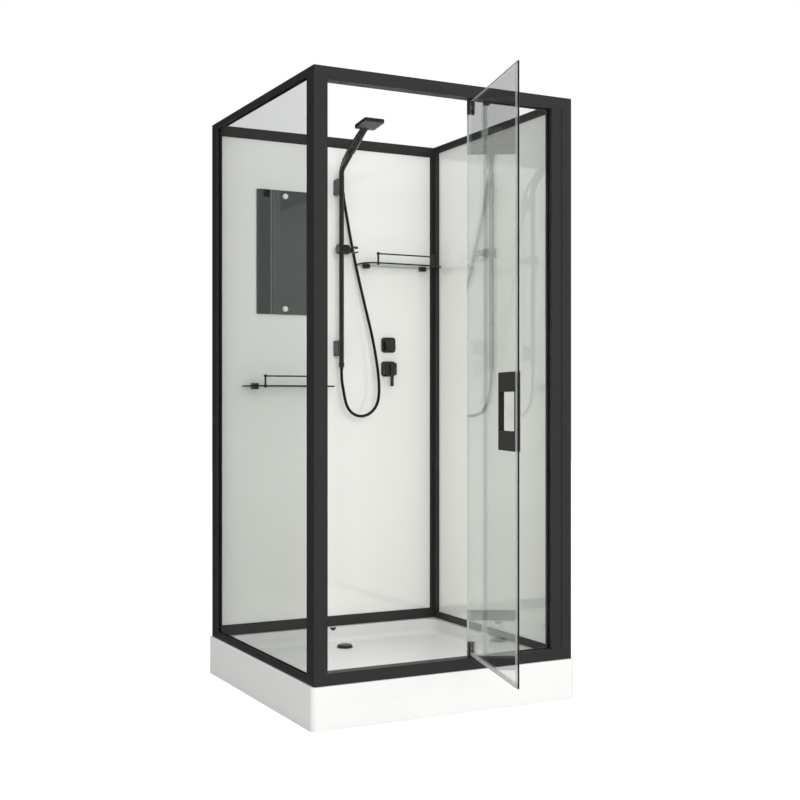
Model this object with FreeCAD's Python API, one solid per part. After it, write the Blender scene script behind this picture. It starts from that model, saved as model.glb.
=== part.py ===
# Square shower cabin with a pivot door, two glass back walls, shelves, a slide bar and a hand shower.
# Origin: centre of the footprint on the floor. X to the right, Y to the back wall, Z up. Millimetres.
import FreeCAD, Part
import math
import os
from FreeCAD import Vector

X_AXIS, Y_AXIS, Z_AXIS = Vector(1, 0, 0), Vector(0, 1, 0), Vector(0, 0, 1)
OVER = 2.0                  # overrun of every cut past the face it leaves
SLIP = 0.1                  # radial room of a fixed round fit
RUN = 0.06                  # radial room of a running fit
FREE = 0.3                  # room between faces that move past each other
NEAR = 0.1                  # tolerance when edges are picked by place

# Tray
TRAY_SIDE = 1000.0
TRAY_HEIGHT = 140.0
TRAY_CORNER = 18.0
TRAY_WALL = 5.0
TRAY_EDGE = 4.0             # rounding of the rim's outer edge
RIM_WIDE = 50.0
BASIN_DEEP = 60.0
BASIN_CORNER = 60.0
BASIN_COVE = 22.0

# Support under the basin
BOARD_THICK = 10.0
BOARD_INSET = 40.0
TUBE_SIDE = 25.0
TUBE_WALL = 2.0
RUNNER_INSET = 150.0        # a runner's middle inside the basin's edge
RUNNER_END_INSET = 42.0
END_FOOT_INSET = 65.0
CROSSBAR_FROM_DRAIN = 92.0
FOOT_ROD_R = 6.0
FOOT_NUT_R = 10.0
FOOT_NUT_TALL = 8.0
FOOT_PAD_R = 25.0
FOOT_PAD_TALL = 12.0
FOOT_SOCKET_DEEP = 5.0

# Waste
DRAIN_INSET = 113.0         # drain's centre inside the basin's back edge
DRAIN_HOLE_R = 27.0
FLANGE_R = 35.0
FLANGE_THICK = 2.0
WASTE_NECK_R = 26.0
WASTE_BORE_R = 22.0
WASTE_GASKET_THICK = 3.0
WASTE_GASKET_R = 34.0
TRAP_R = 55.0
TRAP_FLOOR_GAP = 8.0
TRAP_WALL = 3.0
OUTLET_R = 20.0
OUTLET_BORE_R = 17.5
OUTLET_Z = 32.0
OUTLET_OUT = 6.0            # how far the outlet stands past the tray's back
COVER_R = 30.0
COVER_TALL = 11.0
COVER_RIM = 3.0
COVER_STEM_R = 12.0
COVER_STEM_LONG = 20.0
OVERFLOW_R = 12.0
OVERFLOW_THICK = 4.0
OVERFLOW_DROP = 1.0

# Aluminium frame
FRAME_STEP = 10.0           # tray's rim outside the frame
FRAME_HEIGHT = 1960.0
PROFILE_WALL = 1.6
PROFILE_CAP = 3.0
GROOVE_WIDE = 10.0
GROOVE_DEEP = 12.0
FRONT_DEEP = 40.0
FRONT_TOP_TALL = 42.0
FRONT_LOW_TALL = 39.0
SIDE_DEEP = 20.0
SIDE_TALL = 25.0
BACK_TALL = 38.0
POST_WIDE = 47.0
POST_DEEP = 59.0
CORNER_WIDE = 39.0
STILE_WIDE = 42.0
SEAM_WIDE = 2.0             # open joint between the stile and its post
SEAM_DEEP = 6.0
BACK_LEFT_SIDE = 59.0
BACK_LEFT_LEG = 31.0
BACK_RIGHT_SIDE = 52.0
BACK_RIGHT_LEG = 32.0

# Panes and their seals
GLASS = 6.0
WALL_GLASS = 5.0
GLASS_SINK = 10.0           # how far a pane enters its groove
GASKET_LIP = 2.0
FIXED_SHOW = 262.0          # width of the fixed front pane left of its stile
SEAL_WALL = 1.2
SEAL_LEG = 13.0
SEAL_FIN = 13.0
STOP_WIDE = 18.0
STOP_DEEP = 14.0
STOP_TALL = 14.0

# Door
OPEN_ANGLE = 75.0
DOOR_TAIL = 37.0            # glass behind the pivot
TAIL_GAP = 16.0             # between the door's tail and the fixed pane
DOOR_END_GAP = 8.0          # between the pane and each rail
POST_MAGNET = 7.0
MAGNET_BAR = 7.0
MAGNET_DEEP = 10.0
DOOR_MAGNET_DEEP = 3.0
MAGNET_GAP = 3.0
EDGE_WEB = 1.0
EDGE_LEG = 14.0
SWEEP_LEG = 10.0
SWEEP_FIN_GAP = 2.5
HINGE_WIDE = 20.0
HINGE_DEEP = 22.0
HINGE_TALL = 50.0
HINGE_ROUND = 8.0
HINGE_RAIL_GAP = 2.0
PIN_R = 3.0
PIN_IN_BUSH = 10.0
BUSH_LONG = 24.0
CLAMP_SCREW_R = 3.0
CLAMP_HEAD_R = 5.0
CLAMP_HEAD_TALL = 1.6
HANDLE_RISE = 869.0         # centre of the handle above the tray's rim
HANDLE_WIDE = 172.0
HANDLE_TALL = 240.0
HANDLE_OUTER = 9.0          # thickness of the handle's outer body
HANDLE_INNER = 1.5          # and of its cover inside
HANDLE_CORNER = 3.0
HANDLE_SIDE = 9.0           # plate beside the window
WINDOW_TALL = 120.0
COLLAR_WALL = 3.0

# Mirror
MIRROR_WIDE = 240.0
MIRROR_TALL = 488.0
MIRROR_THICK = 4.0
MIRROR_BAR_GAP = 99.0       # between the mirror's edge and the bar's axis
MIRROR_LOW = 1382.0
MIRROR_CORNER = 3.0
MIRROR_HOLE_EDGE = 22.5
CAP_R = 11.0
CAP_TALL = 6.0
CAP_ROUND = 3.0
FIX_SCREW_R = 2.5
FIX_NUT_R = 6.0
FIX_NUT_TALL = 4.0

# Glass shelves
SHELF_WIDE = 360.0
SHELF_DEEP = 114.0
SHELF_THICK = 6.0
SHELF_CORNER = 55.0
SHELF_WALL_GAP = 8.0
SHELF_BAR_GAP = 39.0        # between the low shelf's end and the bar's axis
SHELF_SIDE_GAP = 24.5       # between the high shelf's end and the frame's right face
SHELF_LOW_Z = 1103.0
SHELF_HIGH_Z = 1596.0
CLIP_FROM_CENTRE = 130.0
CLIP_WIDE = 25.0
CLIP_DEEP = 22.0
CLIP_TALL = 24.0
CLIP_ROUND = 4.0
GALLERY_HALF = 124.0
GALLERY_INSET = 12.5
GALLERY_RISE = 35.0
GALLERY_ROD_R = 3.0
GALLERY_POST_R = 4.0
GALLERY_BALL_R = 7.0
GALLERY_STUD_R = 2.5
GALLERY_FOOT_R = 6.0
GALLERY_FOOT_TALL = 4.0

# Slide bar and its two wall brackets
BAR_X = 24.0
BAR_FROM_WALL = 57.5
BAR_R = 9.75
BAR_BORE_R = 7.75
BAR_LOW = 1194.0
BAR_TOP = 1943.0
BRACKET_WIDE = 20.0
BRACKET_TALL = 61.0
BRACKET_ROUND = 8.0
BRACKET_BACK = 7.0          # bracket's front behind the bar's axis
BRACKET_LOW_Z = 1222.0
BRACKET_TOP_Z = 1868.0

# Holder at the top of the bar: sleeve, elbow and a cup for the hand shower
SLEEVE_R = 11.0
SLEEVE_RING_R = 14.0
SLEEVE_RING_TALL = 3.0
ELBOW_Z = 1945.0
ELBOW_R = 26.0
ARM_R = 10.2
ARM_TIP_R = 9.0
ARM_BEAD = 0.3              # how far the beads at the elbow's end and at the tip stand proud
ARM_TIP_BACK = 16.0         # tip of the arm behind the cup's mouth, along the cup's axis
ARM_TIP_UNDER = 12.0        # and under that axis
HANDLE_TILT = 27.6          # hand shower's handle above the horizontal, degrees
CUP_ASIDE = 5.0
CUP_FORWARD = 78.0
CUP_RISE = 80.0
CUP_LONG = 64.0
CUP_WALL = 2.2

# Hand shower
TAIL_MOUTH_R = 13.0
TAIL_END_R = 9.8
TAIL_LONG = 71.0
GRIP_RING_R = 17.6
GRIP_RING_LONG = 2.2
GRIP_CORE_R = 12.0
GRIP_R = 17.0
GRIP_END_R = 14.0
GRIP_LONG = 127.0
HEAD_WIDE = 83.0
HEAD_LONG = 96.0
HEAD_THICK = 14.5
HEAD_CORNER = 6.5
HEAD_EDGE = 2.5
HEAD_FORWARD = 165.5        # head's centre before the cup's mouth
HEAD_RISE = 72.7
HEAD_PITCH = -7.0
HEAD_NECK_WIDE = 46.0       # flare of the handle where it enters the head
HEAD_NECK_STEP = 0.8
FACE_INSET = 5.0
FACE_REAR = 26.0            # plain part of the head behind its face
FACE_THICK = 2.5
FACE_PROUD = 0.6
NOZZLE_R = 1.7
NOZZLE_TIP_R = 1.0
NOZZLE_LONG = 2.0
NOZZLE_PITCH = 9.5
NOZZLE_MARGIN = 7.0

# Hose and its nuts
HOSE_R = 6.0
NUT_R = 9.4
NUT_LONG = 15.0
FERRULE_R = 7.0
FERRULE_LONG = 8.0
LOW_NUT_R = 11.5
LOW_NUT_LONG = 16.0
LOW_NUT_RIBS = 12
LOW_NUT_RIB_R = 1.1
LOW_FERRULE_R = 8.5
LOW_FERRULE_LONG = 16.0

# Slider on the bar
SLIDER_Z = 1646.0
SLIDER_R = 20.0
SLIDER_LEFT = 11.5          # from the bar's axis to the knob's side
SLIDER_DRUM_RIGHT = 27.0
SLIDER_RIGHT = 38.0
SLIDER_NECK_R = 12.0
KNOB_THICK = 6.5
KNOB_ROUND = 1.5
KNOB_BOSS_R = 5.0
KNOB_BOSS_LONG = 1.6
FORK_DISC_LONG = 7.0
FORK_PIN_R = 4.0
FORK_PIN_LONG = 10.0
FORK_FROM_BAR = 57.0
FORK_R = 14.0
FORK_BORE_R = 11.0
FORK_BORE_END_R = 10.0
FORK_LONG = 26.0
FORK_SLOT = 12.0

# Diverter and mixer
VALVE_FROM_BAR = 235.5
DIVERTER_Z = 1272.0
MIXER_Z = 1174.0
PLATE_SIDE = 62.0
PLATE_CORNER = 12.0
PLATE_THICK = 8.0
KNOB_SIDE = 40.0
KNOB_CORNER = 5.0
KNOB_DEEP = 18.0
KNOB_TURN = 14.0
SPINDLE_R = 5.0
SPINDLE_LONG = 9.0
MIXER_WIDE = 56.0
MIXER_TALL = 49.0
MIXER_DEEP = 23.0
MIXER_CORNER = 6.0
TURNER_R = 17.0
TURNER_THICK = 2.5
LEVER_PIN_RISE = 15.5
LEVER_PIN_R = 1.6
EAR_THICK = 3.0
EAR_R = 3.6
LEVER_WIDE = 13.0
LEVER_THICK = 6.0
LEVER_LONG = 86.5
LEVER_GAP = 1.0

# Water ways behind the back wall
VALVE_BODY_WIDE = 54.0
VALVE_BODY_TALL = 44.0
VALVE_BODY_DEEP = 34.0
VALVE_NECK_R = 7.0
INLET_R = 10.48
INLET_LONG = 18.0
INLET_FROM_CENTRE = 15.0
LINK_R = 8.0
FEED_R = 7.0
ELBOW_SIDE = 24.0

HOSE_ARC_SHARE = 0.45
# Route of the hose from the hand shower's nut to the nut under the bar, which give its two ends.
# X and Y are from the bar's axis, Z is from the floor.
HOSE_ROUTE = [
    (5, 13, 1977.43), (7, 21.5, 1970.5), (10, 28, 1960), (15, 32, 1945), (18, 34.5, 1922),
    (21.5, 35.5, 1887), (28, 35, 1841), (40, 34, 1776), (54, 32, 1697), (72, 28, 1604),
    (93, 22, 1506), (116, 17, 1409), (138, 11, 1317), (154, 7, 1233), (163, 3, 1164),
    (167, 0, 1109), (165, -3, 1064), (156, -5, 1029), (137, -6, 1003), (111, -8, 986.5),
    (85, -9, 981), (62, -9, 984), (42, -9, 994), (26.7, -8.5, 1009.8), (17, -7.5, 1030),
    (10.5, -6, 1057), (5.5, -4, 1091), (0, 0, 1128),
]

# Places that follow from the sizes
TRAY_HALF = TRAY_SIDE / 2
HALF = TRAY_HALF - FRAME_STEP
RIM = TRAY_HEIGHT
TOP = RIM + FRAME_HEIGHT
BASIN_HALF = TRAY_HALF - RIM_WIDE
BASIN_Z = RIM - BASIN_DEEP
RUNNER_X = BASIN_HALF - RUNNER_INSET
END_FOOT_Y = BASIN_HALF - END_FOOT_INSET
DRAIN_Y = BASIN_HALF - DRAIN_INSET
FRONT_Y = -HALF + FRONT_DEEP / 2
LEFT_X = -HALF + SIDE_DEEP / 2
RIGHT_X = -LEFT_X
BACK_Y = HALF - SIDE_DEEP / 2
WALL_Y = BACK_Y - WALL_GLASS / 2
WALL_REAR = BACK_Y + WALL_GLASS / 2
BAR_Y = WALL_Y - BAR_FROM_WALL
VALVE_X = BAR_X + VALVE_FROM_BAR
MIRROR_X = BAR_X - MIRROR_BAR_GAP - MIRROR_WIDE / 2
SHELF_REAR_Y = WALL_Y - SHELF_WALL_GAP
GALLERY_Y = SHELF_REAR_Y - SHELF_DEEP + GALLERY_INSET
SHELF_LOW_X = BAR_X - SHELF_BAR_GAP - SHELF_WIDE / 2
SHELF_HIGH_X = HALF - SHELF_SIDE_GAP - SHELF_WIDE / 2
STILE_X = HALF - CORNER_WIDE - STILE_WIDE
FIXED_X = STILE_X - FIXED_SHOW
PIVOT_X = FIXED_X - TAIL_GAP - DOOR_TAIL
PIVOT = Vector(PIVOT_X, FRONT_Y, 0)
POST_FACE = -HALF + POST_WIDE
FRONT_LOW = RIM + FRONT_LOW_TALL
FRONT_TOP = TOP - FRONT_TOP_TALL
DOOR_LOW = FRONT_LOW + DOOR_END_GAP
DOOR_TOP = FRONT_TOP - DOOR_END_GAP
DOOR_REACH = PIVOT_X - POST_FACE - POST_MAGNET - MAGNET_GAP
DOOR_GLASS_END = DOOR_REACH - MAGNET_BAR - EDGE_WEB
HANDLE_Z = RIM + HANDLE_RISE
PLATE_FRONT = WALL_Y - PLATE_THICK
FEED_Z = BRACKET_LOW_Z + BRACKET_TALL / 2
FEED_Y = WALL_REAR + VALVE_BODY_DEEP / 2
TILT = math.radians(HANDLE_TILT)
DOWN_BACK = Vector(0, math.cos(TILT), -math.sin(TILT))
CUP_MOUTH = Vector(BAR_X + CUP_ASIDE, BAR_Y - CUP_FORWARD, ELBOW_Z + CUP_RISE)
HEAD_Y, HEAD_Z = CUP_MOUTH.y - HEAD_FORWARD, CUP_MOUTH.z + HEAD_RISE

os.makedirs("parts", exist_ok=True)


def save(node, *solids):
    shape = solids[0] if len(solids) == 1 else Part.makeCompound(list(solids))
    shape.exportStep("parts/" + node + ".step")


def block(x, y, z):
    """Box between the two ends given along each axis."""
    low = Vector(min(x), min(y), min(z))
    return Part.makeBox(max(x) - low.x, max(y) - low.y, max(z) - low.z, low)


def about(centre, width):
    """The two ends of a width laid about its centre."""
    return (centre - width / 2, centre + width / 2)


def grown(span, by):
    return (span[0] - by, span[1] + by)


def rod(start, end, radius):
    return Part.makeCylinder(radius, (end - start).Length, start, end - start)


def taper(start, end, radius, end_radius):
    return Part.makeCone(radius, end_radius, (end - start).Length, start, end - start)


def rounded(x, y, z, radius, axis, keep=lambda middle: True):
    """Box whose edges along one axis are rounded, where their middle passes the test."""
    solid = block(x, y, z)
    edges = []
    for edge in solid.Edges:
        first, last = edge.Vertexes[0].Point, edge.Vertexes[-1].Point
        if (last - first).cross(axis).Length < NEAR and keep((first + last) / 2):
            edges.append(edge)
    return solid.makeFillet(radius, edges)


def turned(solid, degrees, centre=Vector(0, 0, 0), axis=Z_AXIS):
    copy = solid.copy()
    copy.rotate(centre, axis, degrees)
    return copy


def tray():
    def basin(grow):
        side = about(0, 2 * (BASIN_HALF + grow))
        low = BASIN_Z - grow
        solid = rounded(side, side, (low, RIM + OVER), BASIN_CORNER + grow, Z_AXIS)
        return solid.makeFillet(BASIN_COVE + grow, [e for e in solid.Edges if e.BoundBox.ZMax < low + NEAR])

    shell = rounded(about(0, TRAY_SIDE), about(0, TRAY_SIDE), (0, RIM), TRAY_CORNER, Z_AXIS)
    shell = shell.makeFillet(TRAY_EDGE, [e for e in shell.Edges if e.BoundBox.ZMin > RIM - NEAR])
    inside = about(0, TRAY_SIDE - 2 * TRAY_WALL)
    under = rounded(inside, inside, (-OVER, RIM - TRAY_WALL), TRAY_CORNER - TRAY_WALL, Z_AXIS)
    shell = shell.cut(under.cut(basin(TRAY_WALL))).cut(basin(0))
    drain = Vector(0, DRAIN_Y, 0)
    shell = shell.cut(rod(drain, drain + Z_AXIS * RIM, DRAIN_HOLE_R))
    recess = drain + Z_AXIS * (BASIN_Z - FLANGE_THICK)
    shell = shell.cut(rod(recess, drain + Z_AXIS * RIM, FLANGE_R + SLIP))
    skirt = Vector(0, TRAY_HALF - TRAY_WALL - OVER, OUTLET_Z)
    save("tray", shell.cut(rod(skirt, skirt + Y_AXIS * (TRAY_WALL + 2 * OVER), OUTLET_R + OVER)))


def support():
    board_low = BASIN_Z - TRAY_WALL - BOARD_THICK
    side = 2 * (BASIN_HALF - BOARD_INSET)
    drain = Vector(0, DRAIN_Y, board_low - OVER)
    board = block(about(0, side), about(0, side), (board_low, board_low + BOARD_THICK))
    save("base_board", board.cut(rod(drain, drain + Z_AXIS * (BOARD_THICK + 2 * OVER), TRAP_R + OVER)))

    tube_low = board_low - TUBE_SIDE
    tube_z = (tube_low, board_low)
    chamber = TUBE_SIDE - 2 * TUBE_WALL
    chamber_z = grown(tube_z, -TUBE_WALL)
    crossbar = about(0, 2 * RUNNER_X - TUBE_SIDE)
    runner = about(0, 2 * (BASIN_HALF - RUNNER_END_INSET))
    runners, crossbars, feet = [], [], [(0, 0)]
    for x in (-RUNNER_X, RUNNER_X):
        tube = block(about(x, TUBE_SIDE), runner, tube_z)
        runners.append(tube.cut(block(about(x, chamber), grown(runner, OVER), chamber_z)))
        feet += [(x, -END_FOOT_Y), (x, END_FOOT_Y)]
    for y in (-END_FOOT_Y, 0, DRAIN_Y - CROSSBAR_FROM_DRAIN):
        tube = block(crossbar, about(y, TUBE_SIDE), tube_z)
        crossbars.append(tube.cut(block(grown(crossbar, OVER), about(y, chamber), chamber_z)))

    screws, pads = [], []
    for x, y in feet:
        def at(z):
            return Vector(x, y, z)

        hole = rod(at(0), at(tube_low + TUBE_WALL + OVER), FOOT_ROD_R + SLIP)
        runners = [solid.cut(hole) for solid in runners]
        crossbars = [solid.cut(hole) for solid in crossbars]
        socket = FOOT_PAD_TALL - FOOT_SOCKET_DEEP
        pad = rod(at(0), at(FOOT_PAD_TALL), FOOT_PAD_R)
        pads.append(pad.cut(rod(at(socket), at(FOOT_PAD_TALL + OVER), FOOT_ROD_R + SLIP)))
        nut = rod(at(tube_low - FOOT_NUT_TALL), at(tube_low), FOOT_NUT_R)
        screws.append(rod(at(socket), at(board_low - TUBE_WALL - OVER), FOOT_ROD_R).fuse(nut))
    save("support_runners", *runners)
    save("support_crossbars", *crossbars)
    save("foot_screws", *screws)
    save("foot_pads", *pads)


def waste():
    def at(z):
        return Vector(0, DRAIN_Y, z)

    trap_top = BASIN_Z - TRAY_WALL - WASTE_GASKET_THICK
    neck_low = trap_top - TRAP_WALL
    flange = rod(at(BASIN_Z - FLANGE_THICK), at(BASIN_Z), FLANGE_R)
    flange = flange.fuse(rod(at(neck_low), at(BASIN_Z - FLANGE_THICK), WASTE_NECK_R))
    save("waste_flange", flange.cut(rod(at(neck_low - OVER), at(BASIN_Z + OVER), WASTE_BORE_R)))

    gasket = rod(at(trap_top), at(BASIN_Z - TRAY_WALL), WASTE_GASKET_R)
    save("waste_gasket", gasket.cut(rod(at(trap_top - OVER), at(BASIN_Z), WASTE_NECK_R + SLIP)))

    trap = rod(at(TRAP_FLOOR_GAP), at(trap_top), TRAP_R)
    trap = trap.cut(rod(at(TRAP_FLOOR_GAP + TRAP_WALL), at(neck_low), TRAP_R - TRAP_WALL))
    trap = trap.cut(rod(at(neck_low - OVER), at(trap_top + OVER), WASTE_NECK_R + SLIP))
    outlet = at(OUTLET_Z)
    trap = trap.cut(rod(outlet, outlet + Y_AXIS * (TRAP_R + OVER), OUTLET_R + SLIP))
    start = outlet + Y_AXIS * (TRAP_R - TRAP_WALL - OVER)
    end = Vector(0, TRAY_HALF + OUTLET_OUT, OUTLET_Z)
    pipe = rod(start, end, OUTLET_R).cut(rod(start - Y_AXIS * OVER, end + Y_AXIS * OVER, OUTLET_BORE_R))
    save("waste_trap", trap, pipe)

    low = BASIN_Z + FREE
    cover = rod(at(low), at(low + COVER_TALL), COVER_R)
    crown = [e for e in cover.Edges if e.BoundBox.ZMin > low + COVER_RIM]
    cover = cover.makeFillet(COVER_TALL - COVER_RIM, crown)
    stem_z = (low - COVER_STEM_LONG, low)
    span = 2 * (WASTE_BORE_R - FREE)
    cover = cover.fuse(rod(at(stem_z[0]), at(low), COVER_STEM_R))
    cover = cover.fuse(block(about(0, span), about(DRAIN_Y, COVER_RIM), stem_z))
    cover = cover.fuse(block(about(0, COVER_RIM), about(DRAIN_Y, span), stem_z))
    save("drain_cover", cover.removeSplitter())

    centre = Vector(0, BASIN_HALF, RIM - OVERFLOW_DROP)
    cap = rod(centre - Y_AXIS * OVERFLOW_THICK, centre, OVERFLOW_R)
    depth = grown((BASIN_HALF - OVERFLOW_THICK, BASIN_HALF), OVER)
    above = block(about(0, TRAY_SIDE), depth, (centre.z, RIM + OVERFLOW_R))
    save("overflow_cover", cap.cut(above))


def rail(ends, deep, tall, at_top, turn):
    """Rail along the front with its glazing groove and chamber, then turned to its own side."""
    low, high = (TOP - tall, TOP) if at_top else (RIM, RIM + tall)
    groove = (low - OVER, low + GROOVE_DEEP) if at_top else (high - GROOVE_DEEP, high + OVER)
    chamber = (low + GROOVE_DEEP, high) if at_top else (low, high - GROOVE_DEEP)
    middle = -HALF + deep / 2
    through = grown(ends, OVER)
    solid = block(ends, (-HALF, -HALF + deep), (low, high))
    solid = solid.cut(block(through, about(middle, GROOVE_WIDE), groove))
    solid = solid.cut(block(through, about(middle, deep - 2 * PROFILE_WALL), grown(chamber, -PROFILE_WALL)))
    return turned(solid, turn)


def rails():
    runs = [
        ((POST_FACE, HALF - CORNER_WIDE), FRONT_DEEP, FRONT_TOP_TALL, FRONT_LOW_TALL, 0),
        ((-HALF + BACK_LEFT_SIDE, HALF - POST_DEEP), SIDE_DEEP, SIDE_TALL, SIDE_TALL, -90),
        ((-HALF + POST_DEEP, HALF - BACK_RIGHT_SIDE), SIDE_DEEP, SIDE_TALL, SIDE_TALL, 90),
        ((-HALF + BACK_RIGHT_LEG, HALF - BACK_LEFT_LEG), SIDE_DEEP, BACK_TALL, BACK_TALL, 180),
    ]
    save("top_rails", *[rail(ends, deep, tall, True, turn) for ends, deep, tall, low, turn in runs])
    save("bottom_rails", *[rail(ends, deep, low, False, turn) for ends, deep, tall, low, turn in runs])


def posts():
    whole = (RIM, TOP)
    through = grown(whole, OVER)
    chamber_z = (RIM - OVER, TOP - PROFILE_CAP)
    groove_y = (-HALF + POST_DEEP - GROOVE_DEEP, -HALF + POST_DEEP + OVER)
    chamber_y = grown((-HALF, groove_y[0]), -PROFILE_WALL)
    front = []
    for x, pane in (((-HALF, POST_FACE), LEFT_X), ((HALF - CORNER_WIDE, HALF), RIGHT_X)):
        post = block(x, (-HALF, -HALF + POST_DEEP), whole)
        post = post.cut(block(about(pane, GROOVE_WIDE), groove_y, through))
        front.append(post.cut(block(grown(x, -PROFILE_WALL), chamber_y, chamber_z)))
    save("front_posts", *front)

    back = []
    for side, leg, long, pane in ((-1, BACK_LEFT_LEG, BACK_LEFT_SIDE, LEFT_X),
                                  (1, BACK_RIGHT_LEG, BACK_RIGHT_SIDE, RIGHT_X)):
        outer, near = side * HALF, HALF - long
        mouth = outer - side * leg
        groove = near + GROOVE_DEEP
        post = block((outer, outer - side * SIDE_DEEP), (near, HALF), whole)
        post = post.fuse(block((outer, mouth), (HALF - SIDE_DEEP, HALF), whole)).removeSplitter()
        post = post.cut(block(about(pane, GROOVE_WIDE), (near - OVER, groove), through))
        sideways = (mouth - side * OVER, mouth + side * GROOVE_DEEP)
        post = post.cut(block(sideways, about(BACK_Y, GROOVE_WIDE), through))
        hollow = (groove + PROFILE_WALL, HALF - SIDE_DEEP)
        back.append(post.cut(block(about(pane, SIDE_DEEP - 2 * PROFILE_WALL), hollow, chamber_z)))
    save("back_posts", *back)

    between = (FRONT_LOW, FRONT_TOP)
    groove_x = (STILE_X - OVER, STILE_X + GROOVE_DEEP)
    edge = STILE_X + STILE_WIDE
    seam_x = (edge - SEAM_WIDE, edge + OVER)
    hollow_x = grown((groove_x[1], seam_x[0]), -PROFILE_WALL)
    stile = block((STILE_X, edge), (-HALF, -HALF + FRONT_DEEP), between)
    stile = stile.cut(block(seam_x, (-HALF - OVER, -HALF + SEAM_DEEP), grown(between, OVER)))
    stile = stile.cut(block(groove_x, about(FRONT_Y, GROOVE_WIDE), grown(between, OVER)))
    deep = FRONT_DEEP - 2 * PROFILE_WALL
    save("fixed_stile", stile.cut(block(hollow_x, about(FRONT_Y, deep), grown(between, OVER))))


def mirror_screw_places():
    low, high = grown((MIRROR_LOW, MIRROR_LOW + MIRROR_TALL), -MIRROR_HOLE_EDGE)
    return [(MIRROR_X, low), (MIRROR_X, high)]


def clip_screw_places():
    """Screws of the shelf clips and of the bar's upper bracket."""
    places = [(BAR_X, BRACKET_TOP_Z + BRACKET_TALL / 2)]
    for x, top in ((SHELF_LOW_X, SHELF_LOW_Z), (SHELF_HIGH_X, SHELF_HIGH_Z)):
        z = top + (CLIP_TALL - SHELF_THICK) / 4
        places += [(x - CLIP_FROM_CENTRE, z), (x + CLIP_FROM_CENTRE, z)]
    return places


def through_wall(x, z, radius):
    return rod(Vector(x, WALL_Y - OVER, z), Vector(x, WALL_REAR + OVER, z), radius + SLIP)


def panes():
    """Four panes, and the gasket that fills the groove round each."""
    side_z = (RIM + SIDE_TALL, TOP - SIDE_TALL)
    gaskets = []
    for node, x, thick, far in (("left_glass", LEFT_X, GLASS, HALF - BACK_LEFT_SIDE),
                                ("right_panel", RIGHT_X, WALL_GLASS, HALF - BACK_RIGHT_SIDE)):
        y = (-HALF + POST_DEEP, far)
        pane = block(about(x, thick), grown(y, GLASS_SINK), grown(side_z, GLASS_SINK))
        outer = block(about(x, GROOVE_WIDE), grown(y, GROOVE_DEEP), grown(side_z, GROOVE_DEEP))
        inner = block(about(x, GROOVE_WIDE + OVER), grown(y, -GASKET_LIP), grown(side_z, -GASKET_LIP))
        gaskets.append(outer.cut(inner).cut(pane))
        save(node, pane)

    back_z = (RIM + BACK_TALL, TOP - BACK_TALL)
    back_x = (-HALF + BACK_LEFT_LEG, HALF - BACK_RIGHT_LEG)
    panel = block(grown(back_x, GLASS_SINK), (WALL_Y, WALL_REAR), grown(back_z, GLASS_SINK))
    outer = block(grown(back_x, GROOVE_DEEP), about(BACK_Y, GROOVE_WIDE), grown(back_z, GROOVE_DEEP))
    inner = block(grown(back_x, -GASKET_LIP), about(BACK_Y, GROOVE_WIDE + OVER), grown(back_z, -GASKET_LIP))
    gaskets.append(outer.cut(inner).cut(panel))
    for x, z in clip_screw_places() + mirror_screw_places():
        panel = panel.cut(through_wall(x, z, FIX_SCREW_R))
    for x, z in ((VALVE_X, DIVERTER_Z), (VALVE_X, MIXER_Z), (BAR_X, FEED_Z)):
        panel = panel.cut(through_wall(x, z, VALVE_NECK_R))
    save("back_panel", panel)

    fixed_z = (FRONT_LOW, FRONT_TOP)
    pane = block((FIXED_X, STILE_X + GLASS_SINK), about(FRONT_Y, GLASS), grown(fixed_z, GLASS_SINK))
    outer = block((FIXED_X, STILE_X + GROOVE_DEEP), about(FRONT_Y, GROOVE_WIDE), grown(fixed_z, GROOVE_DEEP))
    window = (FIXED_X - OVER, STILE_X - GASKET_LIP)
    inner = block(window, about(FRONT_Y, GROOVE_WIDE + OVER), grown(fixed_z, -GASKET_LIP))
    gaskets.append(outer.cut(inner).cut(pane))
    save("fixed_glass", pane)
    save("pane_gaskets", *gaskets)


def clip_legs():
    """Spans in depth of the outer and inner leg of a clear profile on a shut pane."""
    outer = (FRONT_Y - GLASS / 2 - SEAL_WALL, FRONT_Y - GLASS / 2)
    inner = (FRONT_Y + GLASS / 2, FRONT_Y + GLASS / 2 + SEAL_WALL)
    return outer, inner


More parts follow.
